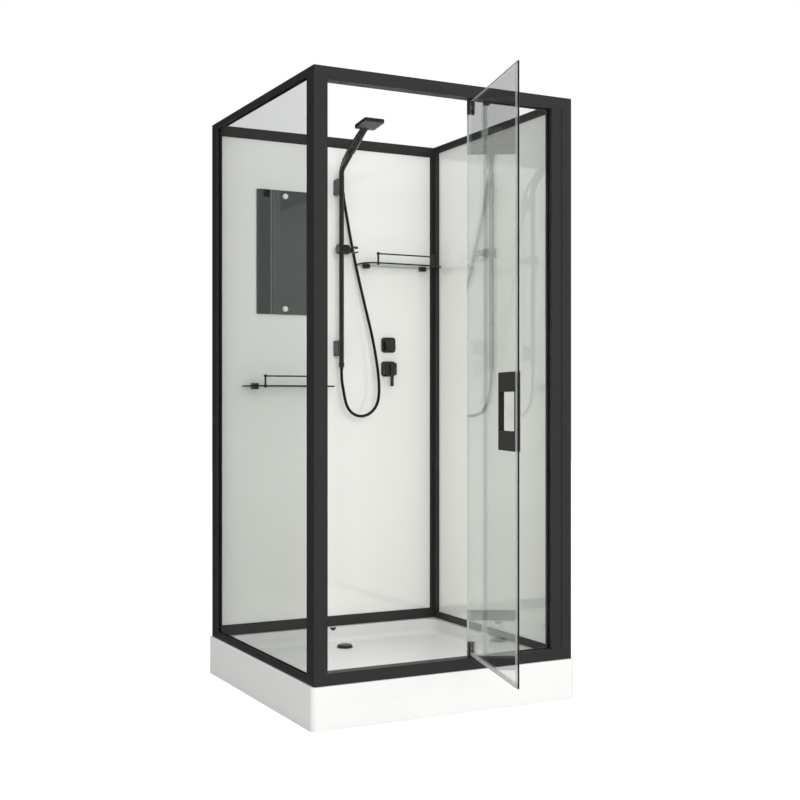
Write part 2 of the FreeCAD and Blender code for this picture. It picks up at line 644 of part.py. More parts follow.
def front_opening():
    """Pieces on the frame round the door: edge seal, stop, fillers, pivot bushes and magnet strip."""
    outer, inner = clip_legs()
    stop_low = FRONT_TOP - STOP_TALL
    z = (FRONT_LOW + GASKET_LIP, stop_low)
    web = (FIXED_X - EDGE_WEB, FIXED_X)
    legs = (web[0], web[0] + SEAL_LEG)
    seal = block(web, (outer[0], inner[1]), z).fuse(block(legs, outer, z)).fuse(block(legs, inner, z))
    save("fixed_edge_seal", seal.fuse(block((web[0] - SEAL_FIN, web[0]), outer, z)).removeSplitter())

    stop_z = (stop_low, FRONT_TOP)
    stop_end = web[0] + STOP_WIDE
    stop = block((web[0], stop_end), about(FRONT_Y, STOP_DEEP), stop_z)
    slot = block((FIXED_X, stop_end + OVER), about(FRONT_Y, GROOVE_WIDE), grown(stop_z, OVER))
    bush = about(PIVOT_X, BUSH_LONG)
    inserts, bushes = [stop.cut(slot)], []
    for low in (FRONT_LOW - GROOVE_DEEP, FRONT_TOP):
        groove = (low, low + GROOVE_DEEP)
        for x in ((POST_FACE, bush[0]), (bush[1], FIXED_X)):
            inserts.append(block(x, about(FRONT_Y, GROOVE_WIDE), groove))
        hole = rod(PIVOT + Z_AXIS * (low - OVER), PIVOT + Z_AXIS * (low + GROOVE_DEEP + OVER), PIN_R + RUN)
        bushes.append(block(bush, about(FRONT_Y, GROOVE_WIDE), groove).cut(hole))
    save("rail_inserts", *inserts)
    save("pivot_bushes", *bushes)
    magnet = block((POST_FACE, POST_FACE + POST_MAGNET), about(FRONT_Y, MAGNET_DEEP), (DOOR_LOW, DOOR_TOP))
    save("post_magnet_strip", magnet)


def door():
    """Every door piece is laid out shut, then turned open about the pivot."""
    def along(start, end):
        return (PIVOT_X - start, PIVOT_X - end)

    def save_open(node, *solids):
        save(node, *[turned(solid, OPEN_ANGLE, PIVOT) for solid in solids])

    outer, inner = clip_legs()
    tall = (DOOR_LOW, DOOR_TOP)
    edge = DOOR_GLASS_END + EDGE_WEB
    plate_end = edge - EDGE_LEG - OVER
    plate_middle = PIVOT_X - plate_end + HANDLE_WIDE / 2
    depth = about(FRONT_Y, HINGE_DEEP)

    def panel(wide, high, y, corner):
        return rounded(about(plate_middle, wide), y, about(HANDLE_Z, high), corner, Y_AXIS)

    window_wide = HANDLE_WIDE - 2 * HANDLE_SIDE
    collar_wide, collar_tall = window_wide + 2 * COLLAR_WALL, WINDOW_TALL + 2 * COLLAR_WALL
    collar_corner = HANDLE_CORNER + COLLAR_WALL
    handle_y = (outer[1] - HANDLE_OUTER, inner[0] + HANDLE_INNER)
    window = panel(window_wide, WINDOW_TALL, grown(handle_y, OVER), HANDLE_CORNER)
    plate = panel(HANDLE_WIDE, HANDLE_TALL, (handle_y[0], outer[1]), HANDLE_CORNER)
    collar = panel(collar_wide, collar_tall, (outer[1], inner[0]), collar_corner)
    save_open("handle_outer", plate.fuse(collar).cut(window).removeSplitter())
    plate = panel(HANDLE_WIDE, HANDLE_TALL, (inner[0], handle_y[1]), HANDLE_CORNER)
    save_open("handle_inner", plate.cut(window))

    glass = block(along(-DOOR_TAIL, DOOR_GLASS_END), about(FRONT_Y, GLASS), tall)
    glass = glass.cut(panel(collar_wide + 2 * SLIP, collar_tall + 2 * SLIP, depth, collar_corner))
    blocks, pins = [], []
    for end, way in ((DOOR_TOP, 1), (DOOR_LOW, -1)):
        def at(z):
            return PIVOT + Z_AXIS * z

        bridge = end + way * (DOOR_END_GAP - HINGE_RAIL_GAP)
        far = bridge - way * HINGE_TALL
        hinge = rounded(about(PIVOT_X, HINGE_WIDE), depth, (bridge, far), HINGE_ROUND, Y_AXIS,
                        lambda middle: abs(middle.z - far) < NEAR)
        slot = block(about(PIVOT_X, HINGE_WIDE + 2 * OVER), about(FRONT_Y, GLASS), (end, far - way * OVER))
        pin_end = bridge + way * (HINGE_RAIL_GAP + PIN_IN_BUSH)
        hinge = hinge.cut(slot).cut(rod(at(end), at(pin_end), PIN_R + SLIP))
        pins.append(rod(at(end), at(pin_end), PIN_R))

        out = Y_AXIS * (HINGE_DEEP / 2)
        head = Y_AXIS * CLAMP_HEAD_TALL
        middle = at((bridge + far) / 2)
        bore = rod(middle - out - head, middle + out + head, CLAMP_SCREW_R + SLIP)
        blocks.append(hinge.cut(bore))
        glass = glass.cut(bore)
        screw = rod(middle - out, middle + out, CLAMP_SCREW_R)
        screw = screw.fuse(rod(middle - out - head, middle - out, CLAMP_HEAD_R))
        pins.append(screw.fuse(rod(middle + out, middle + out + head, CLAMP_HEAD_R)))
    save_open("hinge_blocks", *blocks)
    save_open("hinge_pins", *pins)
    save_open("door_glass", glass)

    web = along(DOOR_GLASS_END, edge)
    leg = along(edge - EDGE_LEG, edge)
    profile = block(web, (outer[0], inner[1]), tall)
    profile = profile.fuse(block(leg, outer, tall)).fuse(block(leg, inner, tall))
    save_open("door_edge_profile", profile.removeSplitter())
    save_open("door_magnet_strip", block(along(edge, DOOR_REACH), about(FRONT_Y, DOOR_MAGNET_DEEP), tall))

    x = along(HINGE_WIDE / 2 + SEAL_WALL, edge - EDGE_LEG - SEAL_WALL)
    legs = (DOOR_LOW - SEAL_WALL, DOOR_LOW + SWEEP_LEG)
    sweep = block(x, (outer[0], inner[1]), (DOOR_LOW - SEAL_WALL, DOOR_LOW)).fuse(block(x, outer, legs))
    sweep = sweep.fuse(block(x, inner, legs)).fuse(block(x, outer, (FRONT_LOW + SWEEP_FIN_GAP, DOOR_LOW)))
    save_open("door_sweep", sweep.removeSplitter())


def wall_screw(x, front, z):
    tip = Vector(x, WALL_REAR + FIX_NUT_TALL, z)
    nut = rod(Vector(x, WALL_REAR, z), tip, FIX_NUT_R)
    return rod(Vector(x, front, z), tip, FIX_SCREW_R).fuse(nut).removeSplitter()


def mirror():
    front = WALL_Y - MIRROR_THICK
    tall = (MIRROR_LOW, MIRROR_LOW + MIRROR_TALL)
    pane = rounded(about(MIRROR_X, MIRROR_WIDE), (front, WALL_Y), tall, MIRROR_CORNER, Y_AXIS)
    caps = []
    for x, z in mirror_screw_places():
        pane = pane.cut(rod(Vector(x, front - OVER, z), Vector(x, WALL_Y + OVER, z), FIX_SCREW_R + SLIP))
        cap = rod(Vector(x, front - CAP_TALL, z), Vector(x, front, z), CAP_R)
        caps.append(cap.makeFillet(CAP_ROUND, [e for e in cap.Edges if e.BoundBox.YMax < front - CAP_ROUND]))
    save("mirror", pane)
    save("mirror_caps", *caps)


def shelves():
    front = WALL_Y - CLIP_DEEP
    panes, galleries, clips = [], [], []
    for centre, top in ((SHELF_LOW_X, SHELF_LOW_Z), (SHELF_HIGH_X, SHELF_HIGH_Z)):
        low = top - SHELF_THICK
        pane = rounded(about(centre, SHELF_WIDE), (SHELF_REAR_Y - SHELF_DEEP, SHELF_REAR_Y), (low, top),
                       SHELF_CORNER, Z_AXIS, lambda middle: middle.y < GALLERY_Y)
        rail_z = top + GALLERY_RISE
        foot_low = low - GALLERY_FOOT_TALL
        left, right = centre - GALLERY_HALF, centre + GALLERY_HALF
        gallery = rod(Vector(left, GALLERY_Y, rail_z), Vector(right, GALLERY_Y, rail_z), GALLERY_ROD_R)
        for x in (left, right):
            def at(z):
                return Vector(x, GALLERY_Y, z)

            gallery = gallery.fuse(rod(at(top), at(rail_z), GALLERY_POST_R))
            gallery = gallery.fuse(Part.makeSphere(GALLERY_BALL_R, at(rail_z)))
            gallery = gallery.fuse(rod(at(foot_low), at(top), GALLERY_STUD_R))
            gallery = gallery.fuse(rod(at(foot_low), at(low), GALLERY_FOOT_R))
            pane = pane.cut(rod(at(low - OVER), at(top + OVER), GALLERY_STUD_R + SLIP))
        galleries.append(gallery.removeSplitter())
        panes.append(pane)
        for x in (centre - CLIP_FROM_CENTRE, centre + CLIP_FROM_CENTRE):
            clip = rounded(about(x, CLIP_WIDE), (front, WALL_Y), about((low + top) / 2, CLIP_TALL),
                           CLIP_ROUND, X_AXIS, lambda middle: middle.y < SHELF_REAR_Y)
            slot = block(about(x, CLIP_WIDE + 2 * OVER), (front - OVER, SHELF_REAR_Y), (low, top))
            clips.append(clip.cut(slot))

    head = WALL_Y - CLIP_DEEP / 2
    screws = [wall_screw(x, WALL_Y - MIRROR_THICK, z) for x, z in mirror_screw_places()]
    for x, z in clip_screw_places():
        socket = rod(Vector(x, head, z), Vector(x, WALL_Y + OVER, z), FIX_SCREW_R + SLIP)
        clips = [clip.cut(socket) for clip in clips]
        screws.append(wall_screw(x, head, z))
    save("shelf_panes", *panes)
    save("gallery_rails", *galleries)
    save("shelf_clips", *clips)
    save("wall_screws", *screws)


def slide_bar():
    def at(z):
        return Vector(BAR_X, BAR_Y, z)

    bore = rod(at(BAR_LOW - OVER), at(BAR_TOP + OVER), BAR_BORE_R)
    save("slide_bar", rod(at(BAR_LOW), at(BAR_TOP), BAR_R).cut(bore))
    brackets = []
    for low, hold, socket, outer_z in ((BRACKET_LOW_Z, BAR_R, VALVE_NECK_R, BRACKET_LOW_Z),
                                       (BRACKET_TOP_Z, SLEEVE_R, FIX_SCREW_R, BRACKET_TOP_Z + BRACKET_TALL)):
        bracket = rounded(about(BAR_X, BRACKET_WIDE), (BAR_Y + BRACKET_BACK, WALL_Y),
                          (low, low + BRACKET_TALL), BRACKET_ROUND, X_AXIS,
                          lambda middle: middle.y > BAR_Y and abs(middle.z - outer_z) < NEAR)
        bracket = bracket.cut(rod(at(low - OVER), at(low + BRACKET_TALL + OVER), hold + SLIP))
        mouth = Vector(BAR_X, WALL_Y + OVER, low + BRACKET_TALL / 2)
        brackets.append(bracket.cut(rod(mouth - Y_AXIS * (CLIP_DEEP / 2 + OVER), mouth, socket + SLIP)))
    save("bar_brackets", *brackets)


def holder_arm():
    def at(z):
        return Vector(BAR_X, BAR_Y, z)

    centre = at(ELBOW_Z) - Y_AXIS * ELBOW_R
    tip = CUP_MOUTH + DOWN_BACK * ARM_TIP_BACK + DOWN_BACK.cross(X_AXIS) * ARM_TIP_UNDER
    reach = math.hypot(tip.y - centre.y, tip.z - centre.z)
    turn = math.atan2(tip.z - centre.z, tip.y - centre.y) - math.acos(ELBOW_R / reach)

    elbow_end = centre + Vector(0, math.cos(turn), math.sin(turn)) * ELBOW_R
    section = Part.Face(Part.Wire([Part.Circle(at(ELBOW_Z), Z_AXIS, ARM_R).toShape()]))
    sleeve_low, bracket_top = BRACKET_TOP_Z - SLIP, BRACKET_TOP_Z + BRACKET_TALL
    ring_low = sleeve_low - SLEEVE_RING_TALL
    arm = rod(at(sleeve_low), at(bracket_top), SLEEVE_R)
    arm = arm.fuse(taper(at(bracket_top), at(ELBOW_Z), SLEEVE_R, ARM_R))
    arm = arm.fuse(section.revolve(centre, X_AXIS, math.degrees(turn)))
    arm = arm.fuse(Part.makeSphere(ARM_R + ARM_BEAD, elbow_end))
    arm = arm.fuse(taper(elbow_end, tip, ARM_R, ARM_TIP_R)).fuse(Part.makeSphere(ARM_TIP_R + ARM_BEAD, tip))
    arm = arm.fuse(rod(at(ring_low), at(sleeve_low), SLEEVE_RING_R))

    slope = (TAIL_MOUTH_R - TAIL_END_R) / TAIL_LONG
    end_r = TAIL_MOUTH_R - slope * CUP_LONG
    cup_end = CUP_MOUTH + DOWN_BACK * CUP_LONG
    arm = arm.fuse(taper(CUP_MOUTH, cup_end, TAIL_MOUTH_R + FREE + CUP_WALL, end_r + FREE + CUP_WALL))
    bore_start, bore_end = CUP_MOUTH - DOWN_BACK * OVER, CUP_MOUTH + DOWN_BACK * TAIL_LONG
    arm = arm.cut(taper(bore_start, bore_end, TAIL_MOUTH_R + FREE + slope * OVER, TAIL_END_R + FREE))
    arm = arm.cut(rod(at(ring_low - OVER), at(BAR_TOP), BAR_R + SLIP))
    save("holder_arm", arm.removeSplitter())


def hand_shower():
    up = DOWN_BACK * -1
    mouth = CUP_MOUTH + up * FREE
    start = mouth + up * GRIP_RING_LONG
    end = start + up * (GRIP_LONG - GRIP_RING_LONG)
    centre = Vector(CUP_MOUTH.x, HEAD_Y, HEAD_Z)

    def pitched(solid):
        return turned(solid, HEAD_PITCH, centre, X_AXIS)

    def oval(middle, half_wide, rise):
        return Part.Wire([Part.Ellipse(middle + X_AXIS * half_wide, middle + rise, middle).toShape()])

    under = HEAD_Z - HEAD_THICK / 2
    head = rounded(about(centre.x, HEAD_WIDE), about(HEAD_Y, HEAD_LONG), about(HEAD_Z, HEAD_THICK),
                   HEAD_CORNER, Z_AXIS)
    head = head.makeFillet(HEAD_EDGE, [e for e in head.Edges if e.BoundBox.ZMin > HEAD_Z + HEAD_EDGE])
    face_wide, face_long = HEAD_WIDE - 2 * FACE_INSET, HEAD_LONG - FACE_INSET - FACE_REAR
    face_y = HEAD_Y - (FACE_REAR - FACE_INSET) / 2
    face = pitched(rounded(about(centre.x, face_wide), about(face_y, face_long),
                           (under - FACE_PROUD, under + FACE_THICK), HEAD_CORNER - FACE_INSET, Z_AXIS))
    body = taper(mouth, mouth + DOWN_BACK * TAIL_LONG, TAIL_MOUTH_R, TAIL_END_R)
    body = body.fuse(rod(mouth, start, GRIP_CORE_R)).fuse(taper(start, end, GRIP_R, GRIP_END_R))
    neck_r = GRIP_END_R - HEAD_NECK_STEP
    neck_start = oval(end, neck_r, X_AXIS.cross(DOWN_BACK) * (neck_r - SLIP))
    inside = centre + Y_AXIS * (HEAD_LONG / 4)
    neck_end = oval(inside, HEAD_NECK_WIDE / 2, Z_AXIS * (HEAD_THICK / 2 - HEAD_EDGE))
    body = body.fuse(Part.makeLoft([neck_start, pitched(neck_end)], True, True))
    body = body.fuse(pitched(head)).cut(face)
    save("hand_shower_body", body.removeSplitter())
    ring = rod(mouth, start, GRIP_RING_R)
    save("hand_shower_ring", ring.cut(rod(mouth, start, GRIP_CORE_R + SLIP)))
    save("shower_face", face)

    nozzles = []
    across = int((face_wide - 2 * NOZZLE_MARGIN) / NOZZLE_PITCH)
    length = int((face_long - 2 * NOZZLE_MARGIN) / NOZZLE_PITCH)
    for column in range(across + 1):
        for row in range(length + 1):
            root = Vector(centre.x + (column - across / 2) * NOZZLE_PITCH,
                          face_y + (row - length / 2) * NOZZLE_PITCH, under - FACE_PROUD)
            nozzles.append(pitched(taper(root, root - Z_AXIS * NOZZLE_LONG, NOZZLE_R, NOZZLE_TIP_R)))
    save("shower_nozzles", *nozzles)


def hose_nuts():
    """Nut on the hand shower's tail and ribbed nut under the bar; gives the two ends of the hose."""
    start = CUP_MOUTH + DOWN_BACK * TAIL_LONG
    end = start + DOWN_BACK * NUT_LONG
    tip = end + DOWN_BACK * FERRULE_LONG
    upper = rod(start, end, NUT_R).fuse(taper(end, tip, FERRULE_R, HOSE_R))

    top = Vector(BAR_X, BAR_Y, BAR_LOW)
    low = top - Z_AXIS * LOW_NUT_LONG
    foot = low - Z_AXIS * LOW_FERRULE_LONG
    core = LOW_NUT_R - LOW_NUT_RIB_R
    band = Z_AXIS * (LOW_NUT_LONG / 3)
    lower = rod(top, low, core)
    for rib in range(LOW_NUT_RIBS):
        turn = 2 * math.pi * rib / LOW_NUT_RIBS
        out = Vector(math.cos(turn), math.sin(turn), 0) * core
        for near in (top + out, low + band + out):
            lower = lower.fuse(rod(near, near - band, LOW_NUT_RIB_R))
    lower = lower.fuse(taper(low, foot, LOW_FERRULE_R, HOSE_R))
    save("hose_nuts", upper, lower.removeSplitter())
    return tip, foot


def hose(start, end):
    """Tube along straight runs joined by tangent arcs, as large as the runs allow."""
    bar = Vector(BAR_X, BAR_Y, 0)
    points = [start] + [bar + Vector(*point) for point in HOSE_ROUTE] + [end]
    edges, radii, here = [], [], start
    for before, corner, after in zip(points, points[1:], points[2:]):
        run_in, run_out = corner - before, after - corner
        turn = run_in.getAngle(run_out)
        reach = HOSE_ARC_SHARE * min(run_in.Length, run_out.Length)
        radius = reach / math.tan(turn / 2)
        back, forward = run_in.normalize(), run_out.normalize()
        inward = (forward - back).normalize()
        first, last = corner - back * reach, corner + forward * reach
        middle = corner + inward * (radius / math.cos(turn / 2) - radius)
        edges.append(Part.LineSegment(here, first).toShape())
        edges.append(Part.Arc(first, middle, last).toShape())
        radii.append(round(radius))
        here = last
    edges.append(Part.LineSegment(here, end).toShape())
    path = Part.Wire(edges)
    section = Part.Wire([Part.Circle(start, points[1] - start, HOSE_R).toShape()])
    tube = path.makePipeShell([section], True, False)
    ratio = tube.Volume / (math.pi * HOSE_R ** 2 * path.Length)
    print("hose length", round(path.Length, 1), "volume over section times length", round(ratio, 4))
    print("hose radii", radii)
    save("shower_hose", tube)


def slider():
    def at(x):
        return Vector(BAR_X + x, BAR_Y, SLIDER_Z)

    up = Z_AXIS * (SLIDER_R + OVER)
    body = rod(at(-SLIDER_LEFT), at(SLIDER_DRUM_RIGHT), SLIDER_R)
    body = body.fuse(taper(at(SLIDER_DRUM_RIGHT), at(SLIDER_RIGHT), SLIDER_R, SLIDER_NECK_R))
    body = body.cut(rod(at(0) - up, at(0) + up, BAR_R + RUN))
    boss_end = KNOB_BOSS_LONG - SLIDER_LEFT
    body = body.cut(rod(at(-SLIDER_LEFT - OVER), at(boss_end + FREE), KNOB_BOSS_R + RUN))
    body = body.cut(rod(at(SLIDER_RIGHT - FORK_PIN_LONG - FREE), at(SLIDER_RIGHT + OVER), FORK_PIN_R + RUN))
    save("slider_body", body)

    inner = -SLIDER_LEFT - FREE
    knob = rod(at(inner - KNOB_THICK), at(inner), SLIDER_R)
    outside = BAR_X + inner - KNOB_ROUND
    knob = knob.makeFillet(KNOB_ROUND, [e for e in knob.Edges if e.BoundBox.XMax < outside])
    save("slider_knob", knob.fuse(rod(at(inner), at(boss_end), KNOB_BOSS_R)))

    side = SLIDER_RIGHT + FREE
    half = Y_AXIS * (FORK_LONG / 2)
    cup = at(FORK_FROM_BAR)
    fork = rod(at(side), at(side + FORK_DISC_LONG), SLIDER_NECK_R).fuse(rod(cup - half, cup + half, FORK_R))
    fork = fork.cut(taper(cup - half, cup + half, FORK_BORE_R, FORK_BORE_END_R))
    slot_x = (cup.x, cup.x + FORK_R + OVER)
    fork = fork.cut(block(slot_x, about(BAR_Y, FORK_LONG + 2 * OVER), about(SLIDER_Z, FORK_SLOT)))
    fork = fork.fuse(rod(at(SLIDER_RIGHT - FORK_PIN_LONG), at(side), FORK_PIN_R))
    save("slider_fork", fork.removeSplitter())


def valves():
    def at(z, y):
        return Vector(VALVE_X, y, z)

    plates = []
    for z in (DIVERTER_Z, MIXER_Z):
        plate = rounded(about(VALVE_X, PLATE_SIDE), (PLATE_FRONT, WALL_Y), about(z, PLATE_SIDE),
                        PLATE_CORNER, Y_AXIS)
        plates.append(plate.cut(rod(at(z, PLATE_FRONT - OVER), at(z, WALL_Y + OVER), VALVE_NECK_R + SLIP)))
    save("valve_plates", *plates)

    knob_rear = PLATE_FRONT - FREE
    knob = rounded(about(VALVE_X, KNOB_SIDE), (knob_rear - KNOB_DEEP, knob_rear),
                   about(DIVERTER_Z, KNOB_SIDE), KNOB_CORNER, Y_AXIS)
    spindle_end = PLATE_FRONT - SPINDLE_LONG
    spindle = rod(at(DIVERTER_Z, spindle_end), at(DIVERTER_Z, PLATE_FRONT), SPINDLE_R)
    socket = rod(at(DIVERTER_Z, spindle_end - FREE), at(DIVERTER_Z, PLATE_FRONT), SPINDLE_R + RUN)
    save("diverter_knob", turned(knob, -KNOB_TURN, at(DIVERTER_Z, knob_rear), Y_AXIS).cut(socket))

    block_front = PLATE_FRONT - MIXER_DEEP
    stem_end = block_front + MIXER_DEEP / 2
    body = rounded(about(VALVE_X, MIXER_WIDE), (block_front, PLATE_FRONT), about(MIXER_Z, MIXER_TALL),
                   MIXER_CORNER, Z_AXIS, lambda middle: middle.y < stem_end)
    bore = rod(at(MIXER_Z, block_front - OVER), at(MIXER_Z, stem_end + FREE), SPINDLE_R + RUN)
    save("mixer_block", body.cut(bore))

    turner_rear = block_front - FREE
    turner_front = turner_rear - TURNER_THICK
    pin_y = turner_front - FREE - LEVER_GAP - LEVER_THICK / 2
    pin_z = MIXER_Z + LEVER_PIN_RISE
    turner = rod(at(MIXER_Z, turner_front), at(MIXER_Z, turner_rear), TURNER_R)
    turner = turner.fuse(rod(at(MIXER_Z, turner_rear), at(MIXER_Z, stem_end), SPINDLE_R))
    ear_in = LEVER_WIDE / 2 + FREE
    ear_out = ear_in + EAR_THICK
    for side in (-1, 1):
        near, far = X_AXIS * (side * ear_in), X_AXIS * (side * ear_out)
        turner = turner.fuse(rod(at(pin_z, pin_y) + near, at(pin_z, pin_y) + far, EAR_R))
        ear_x = (VALVE_X + near.x, VALVE_X + far.x)
        turner = turner.fuse(block(ear_x, (pin_y, turner_rear), about(pin_z, 2 * EAR_R)))
    ends = X_AXIS * ear_out
    turner = turner.cut(rod(at(pin_z, pin_y) - ends, at(pin_z, pin_y) + ends, LEVER_PIN_R + SLIP))
    save("mixer_turner", turner.removeSplitter())
    save("lever_pin", rod(at(pin_z, pin_y) - ends, at(pin_z, pin_y) + ends, LEVER_PIN_R))

    half = X_AXIS * (LEVER_WIDE / 2)
    lever = rod(at(pin_z, pin_y) - half, at(pin_z, pin_y) + half, LEVER_THICK / 2)
    long = (pin_z - LEVER_LONG, pin_z)
    lever = lever.fuse(block(about(VALVE_X, LEVER_WIDE), about(pin_y, LEVER_THICK), long)).removeSplitter()
    save("mixer_lever", lever.cut(rod(at(pin_z, pin_y) - ends, at(pin_z, pin_y) + ends, LEVER_PIN_R + RUN)))

    bodies = []
    depth = (WALL_REAR, WALL_REAR + VALVE_BODY_DEEP)
    for z in (DIVERTER_Z, MIXER_Z):
        solid = block(about(VALVE_X, VALVE_BODY_WIDE), depth, about(z, VALVE_BODY_TALL))
        bodies.append(solid.fuse(rod(at(z, PLATE_FRONT), at(z, WALL_REAR), VALVE_NECK_R)))
    bodies[0] = bodies[0].fuse(spindle)
    low, high = about(MIXER_Z, VALVE_BODY_TALL)
    for side in (-1, 1):
        inlet = Vector(VALVE_X + side * INLET_FROM_CENTRE, FEED_Y, low)
        bodies[1] = bodies[1].fuse(rod(inlet, inlet - Z_AXIS * INLET_LONG, INLET_R))
    link = rod(at(high, FEED_Y), at(DIVERTER_Z - VALVE_BODY_TALL / 2, FEED_Y), LINK_R)
    save("valve_bodies", bodies[0].removeSplitter(), bodies[1].removeSplitter(), link)

    half = ELBOW_SIDE / 2
    elbow = block(about(BAR_X, ELBOW_SIDE), about(FEED_Y, ELBOW_SIDE), (FEED_Z - half, DIVERTER_Z + half))
    mouth = Vector(BAR_X, WALL_Y - CLIP_DEEP / 2, FEED_Z)
    elbow = elbow.fuse(rod(mouth, Vector(BAR_X, FEED_Y, FEED_Z), VALVE_NECK_R))
    pipe = rod(Vector(BAR_X + half, FEED_Y, DIVERTER_Z),
               Vector(VALVE_X - VALVE_BODY_WIDE / 2, FEED_Y, DIVERTER_Z), FEED_R)
    save("feed_line", elbow.removeSplitter(), pipe)


tray()
support()
waste()
rails()
posts()
panes()
front_opening()
door()
mirror()
shelves()
slide_bar()
holder_arm()
hand_shower()
hose(*hose_nuts())
slider()
valves()
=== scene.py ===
# Square shower cabin in a corner: white tray, black frame, two white glass walls, clear glass in front and
# at the left, an open pivot door, mirror, shelves, slide bar with a hand shower, and a lever mixer.
import bpy
import math
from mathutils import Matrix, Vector


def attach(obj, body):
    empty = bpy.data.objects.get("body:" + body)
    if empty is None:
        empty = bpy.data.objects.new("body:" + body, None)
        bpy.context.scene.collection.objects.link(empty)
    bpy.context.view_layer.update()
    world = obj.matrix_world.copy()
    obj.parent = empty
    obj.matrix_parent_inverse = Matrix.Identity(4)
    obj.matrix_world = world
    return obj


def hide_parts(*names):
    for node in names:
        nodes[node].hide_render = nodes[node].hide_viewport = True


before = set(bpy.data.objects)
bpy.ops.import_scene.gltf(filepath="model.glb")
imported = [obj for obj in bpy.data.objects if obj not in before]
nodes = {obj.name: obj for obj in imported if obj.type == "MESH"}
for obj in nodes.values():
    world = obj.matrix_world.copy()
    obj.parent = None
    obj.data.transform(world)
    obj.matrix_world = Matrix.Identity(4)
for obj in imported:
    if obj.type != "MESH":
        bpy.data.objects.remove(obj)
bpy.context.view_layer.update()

# Camera
# View from the front left at about a metre's height, 3.9 m from the tray's near corner. It is level, so
# uprights stay upright, and a small lens shift sets the height in the picture.
camera_data = bpy.data.cameras.new("camera")
camera_data.sensor_width = 36
camera_data.lens = 56.23
camera_data.shift_y = 0.0036
camera = bpy.data.objects.new("camera", camera_data)
camera.location = (-2.056, -4.102, 1.035)
camera.rotation_euler = (math.radians(90), 0, math.radians(-27.38))
bpy.context.scene.collection.objects.link(camera)
bpy.context.scene.camera = camera
bpy.context.scene.view_settings.view_transform = "Standard"


# Studio
# White surroundings with a pale floor, lit softly from all sides, from the front and from above.
# Reflections meet a dim room instead, as the photograph's glass and black paint show.
def linear(colour):
    """Linear RGBA of an sRGB hex colour."""
    parts = [int(colour[i:i + 2], 16) / 255 for i in (0, 2, 4)]
    return [p / 12.92 if p <= 0.04045 else ((p + 0.055) / 1.055) ** 2.4 for p in parts] + [1.0]


def add(tree, kind, inputs=None, **settings):
    """Adds a shader node with its settings.

    Inputs are values or other nodes' sockets, by the socket's name or index.
    """
    node = tree.nodes.new("ShaderNode" + kind)
    for name, value in settings.items():
        setattr(node, name, value)
    for name, value in (inputs or {}).items():
        if isinstance(value, bpy.types.NodeSocket):
            tree.links.new(value, node.inputs[name])
        else:
            node.inputs[name].default_value = value
    return node


def new_material(name):
    """An empty material and its node tree."""
    material = bpy.data.materials.new(name)
    material.use_nodes = True
    material.node_tree.nodes.clear()
    return material, material.node_tree


AMBIENT = 0.76              # the room's soft light on the object; the camera sees 1, which is white
DIM_ROOM = 0.04             # what a mirror image shows of the room
world = bpy.data.worlds.new("studio")
bpy.context.scene.world = world
world.use_nodes = True
tree = world.node_tree
tree.nodes.clear()
path = add(tree, "LightPath")
white = add(tree, "Math", {0: path.outputs["Is Camera Ray"], 1: path.outputs["Is Transmission Ray"]},
            operation="MAXIMUM")
level = add(tree, "MapRange", {0: white.outputs[0], "To Min": AMBIENT, "To Max": 1.0})
level = add(tree, "MapRange", {0: path.outputs["Is Glossy Ray"], "To Min": level.outputs[0],
                               "To Max": DIM_ROOM})
sky = add(tree, "Background", {"Color": linear("ffffff"), "Strength": level.outputs[0]})
add(tree, "OutputWorld", {"Surface": sky.outputs[0]})


def stage_board(name, corners, material):
    """A flat board of the studio, which isn't part of the object."""
    mesh = bpy.data.meshes.new(name)
    mesh.from_pydata(corners, [], [range(len(corners))])
    board = bpy.data.objects.new(name, mesh)
    board.data.materials.append(material)
    bpy.context.scene.collection.objects.link(board)


# The floor's matt pale paint keeps the shadows, and a glow that only the camera sees takes it to white.
FLOOR_HALF = 14.0
FLOOR_GLOW = 0.5
floor_paint, tree = new_material("studio_floor_paint")
path = add(tree, "LightPath")
own = add(tree, "BsdfDiffuse", {"Color": linear("eeeeee")})
seen = add(tree, "Math", {0: path.outputs["Is Camera Ray"], 1: FLOOR_GLOW}, operation="MULTIPLY")
glow = add(tree, "Emission", {"Color": linear("ffffff"), "Strength": seen.outputs[0]})
both = add(tree, "AddShader", {0: own.outputs[0], 1: glow.outputs[0]})
dim = add(tree, "Emission", {"Color": linear("ffffff"), "Strength": DIM_ROOM})
whole = add(tree, "MixShader", {0: path.outputs["Is Glossy Ray"], 1: both.outputs[0], 2: dim.outputs[0]})
add(tree, "OutputMaterial", {"Surface": whole.outputs[0]})
stage_board("studio_floor", [(-FLOOR_HALF, -FLOOR_HALF, 0), (FLOOR_HALF, -FLOOR_HALF, 0),
                             (FLOOR_HALF, FLOOR_HALF, 0), (-FLOOR_HALF, FLOOR_HALF, 0)], floor_paint)

# A grey wall of the room behind the camera, which only mirror images show.
CARD_LEFT, CARD_RIGHT = -9, 11
CARD_Y = -7
CARD_TALL = 8
CARD_LIGHT = 0.15
card_paint, tree = new_material("studio_card_grey")
path = add(tree, "LightPath")
glow = add(tree, "Emission", {"Color": linear("ffffff"), "Strength": CARD_LIGHT})
clear = add(tree, "BsdfTransparent")
whole = add(tree, "MixShader", {0: path.outputs["Is Glossy Ray"], 1: clear.outputs[0], 2: glow.outputs[0]})
add(tree, "OutputMaterial", {"Surface": whole.outputs[0]})
stage_board("studio_card", [(CARD_LEFT, CARD_Y, 0), (CARD_RIGHT, CARD_Y, 0),
                            (CARD_RIGHT, CARD_Y, CARD_TALL), (CARD_LEFT, CARD_Y, CARD_TALL)], card_paint)

